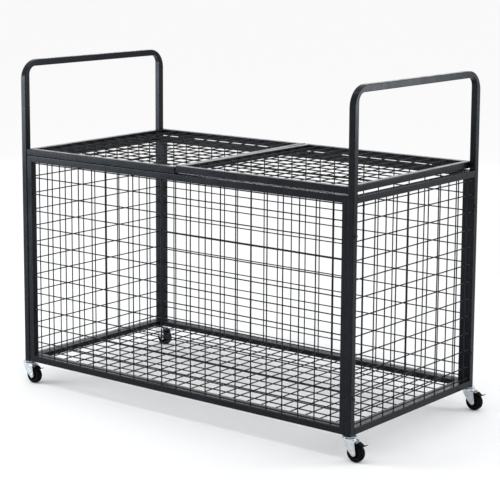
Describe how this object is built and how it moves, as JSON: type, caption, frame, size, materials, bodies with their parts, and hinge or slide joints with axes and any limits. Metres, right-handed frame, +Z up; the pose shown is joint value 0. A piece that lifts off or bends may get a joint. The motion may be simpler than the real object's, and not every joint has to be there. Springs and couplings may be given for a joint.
{
  "type": "ball cart",
  "caption": "Wheeled cage of square tube and welded wire mesh for sports balls, with a push hoop at each end, hinged mesh lids and swivel casters with brakes.",
  "frame": {"origin": "on the floor, under the middle of the cart's overall box with all casters trailing towards +X; the cage's middle is 17 mm towards -X of it", "axes": "+X along the cart towards its right end, +Y from the front to the hinged rear, +Z up"},
  "size_m": [1.2425, 0.631, 0.97],
  "materials": {
    "powder_coat": "semi-gloss black powder coat on steel tube",
    "black_wire": "semi-gloss black powder coat on steel wire",
    "black_steel": "black bolts and hinge leaves",
    "zinc_plate": "bright zinc plate on pressed steel",
    "wheel_rubber": "matt black rubber",
    "pedal_steel": "grey pressed steel"
  },
  "bodies": {
    "cage": {"left_hoop": "powder_coat", "left_top_crossbar": "powder_coat", "left_bottom_crossbar": "powder_coat", "left_end_mesh": "black_wire", "right_hoop": "powder_coat", "right_top_crossbar": "powder_coat", "right_bottom_crossbar": "powder_coat", "right_end_mesh": "black_wire", "front_panel_frame": "powder_coat", "front_panel_mesh": "black_wire", "rear_panel_frame": "powder_coat", "rear_panel_mesh": "black_wire", "floor_frame": "powder_coat", "floor_mesh": "black_wire", "left_front_upper_bolt": "black_steel", "left_front_lower_bolt": "black_steel", "left_rear_upper_bolt": "black_steel", "left_rear_lower_bolt": "black_steel", "right_front_upper_bolt": "black_steel", "right_front_lower_bolt": "black_steel", "right_rear_upper_bolt": "black_steel", "right_rear_lower_bolt": "black_steel", "left_front_floor_bolt": "black_steel", "left_rear_floor_bolt": "black_steel", "right_front_floor_bolt": "black_steel", "right_rear_floor_bolt": "black_steel", "left_inner_hinge_rail_leaf": "black_steel", "left_outer_hinge_rail_leaf": "black_steel", "right_inner_hinge_rail_leaf": "black_steel", "right_outer_hinge_rail_leaf": "black_steel", "left_front_caster_stem": "zinc_plate", "left_rear_caster_stem": "zinc_plate", "right_front_caster_stem": "zinc_plate", "right_rear_caster_stem": "zinc_plate"},
    "left_lid": {"left_lid_frame": "powder_coat", "left_lid_mesh": "black_wire", "left_inner_hinge_lid_leaf": "black_steel", "left_outer_hinge_lid_leaf": "black_steel"},
    "right_lid": {"right_lid_frame": "powder_coat", "right_lid_mesh": "black_wire", "right_inner_hinge_lid_leaf": "black_steel", "right_outer_hinge_lid_leaf": "black_steel"},
    "left_front_caster": {"left_front_caster_fork": "zinc_plate", "left_front_caster_axle": "zinc_plate"},
    "left_front_wheel": {"left_front_caster_wheel": "wheel_rubber"},
    "left_front_brake": {"left_front_caster_brake_pedal": "pedal_steel"},
    "left_rear_caster": {"left_rear_caster_fork": "zinc_plate", "left_rear_caster_axle": "zinc_plate"},
    "left_rear_wheel": {"left_rear_caster_wheel": "wheel_rubber"},
    "left_rear_brake": {"left_rear_caster_brake_pedal": "pedal_steel"},
    "right_front_caster": {"right_front_caster_fork": "zinc_plate", "right_front_caster_axle": "zinc_plate"},
    "right_front_wheel": {"right_front_caster_wheel": "wheel_rubber"},
    "right_front_brake": {"right_front_caster_brake_pedal": "pedal_steel"},
    "right_rear_caster": {"right_rear_caster_fork": "zinc_plate", "right_rear_caster_axle": "zinc_plate"},
    "right_rear_wheel": {"right_rear_caster_wheel": "wheel_rubber"},
    "right_rear_brake": {"right_rear_caster_brake_pedal": "pedal_steel"}
  },
  "joints": [
    {"name": "left_lid_hinge", "type": "hinge", "parent": "cage", "child": "left_lid", "pos_m": [-0.30575, 0.3075, 0.6922], "axis": [-1, 0, 0], "range_deg": [0, 197]},
    {"name": "right_lid_hinge", "type": "hinge", "parent": "cage", "child": "right_lid", "pos_m": [0.27175, 0.3075, 0.6922], "axis": [-1, 0, 0], "range_deg": [0, 197]},
    {"name": "left_front_swivel", "type": "hinge", "parent": "cage", "child": "left_front_caster", "pos_m": [-0.6025, -0.2965, 0.057], "axis": [0, 0, 1], "continuous": true},
    {"name": "left_front_wheel_spin", "type": "hinge", "parent": "left_front_caster", "child": "left_front_wheel", "pos_m": [-0.5815, -0.2965, 0.025], "axis": [0, 1, 0], "continuous": true},
    {"name": "left_front_brake_press", "type": "hinge", "parent": "left_front_caster", "child": "left_front_brake", "pos_m": [-0.5925, -0.2965, 0.053], "axis": [0, 1, 0], "range_deg": [0, 5]},
    {"name": "left_rear_swivel", "type": "hinge", "parent": "cage", "child": "left_rear_caster", "pos_m": [-0.6025, 0.2965, 0.057], "axis": [0, 0, 1], "continuous": true},
    {"name": "left_rear_wheel_spin", "type": "hinge", "parent": "left_rear_caster", "child": "left_rear_wheel", "pos_m": [-0.5815, 0.2965, 0.025], "axis": [0, 1, 0], "continuous": true},
    {"name": "left_rear_brake_press", "type": "hinge", "parent": "left_rear_caster", "child": "left_rear_brake", "pos_m": [-0.5925, 0.2965, 0.053], "axis": [0, 1, 0], "range_deg": [0, 5]},
    {"name": "right_front_swivel", "type": "hinge", "parent": "cage", "child": "right_front_caster", "pos_m": [0.5685, -0.2965, 0.057], "axis": [0, 0, 1], "continuous": true},
    {"name": "right_front_wheel_spin", "type": "hinge", "parent": "right_front_caster", "child": "right_front_wheel", "pos_m": [0.5895, -0.2965, 0.025], "axis": [0, 1, 0], "continuous": true},
    {"name": "right_front_brake_press", "type": "hinge", "parent": "right_front_caster", "child": "right_front_brake", "pos_m": [0.5785, -0.2965, 0.053], "axis": [0, 1, 0], "range_deg": [0, 5]},
    {"name": "right_rear_swivel", "type": "hinge", "parent": "cage", "child": "right_rear_caster", "pos_m": [0.5685, 0.2965, 0.057], "axis": [0, 0, 1], "continuous": true},
    {"name": "right_rear_wheel_spin", "type": "hinge", "parent": "right_rear_caster", "child": "right_rear_wheel", "pos_m": [0.5895, 0.2965, 0.025], "axis": [0, 1, 0], "continuous": true},
    {"name": "right_rear_brake_press", "type": "hinge", "parent": "right_rear_caster", "child": "right_rear_brake", "pos_m": [0.5785, 0.2965, 0.053], "axis": [0, 1, 0], "range_deg": [0, 5]}
  ]
}
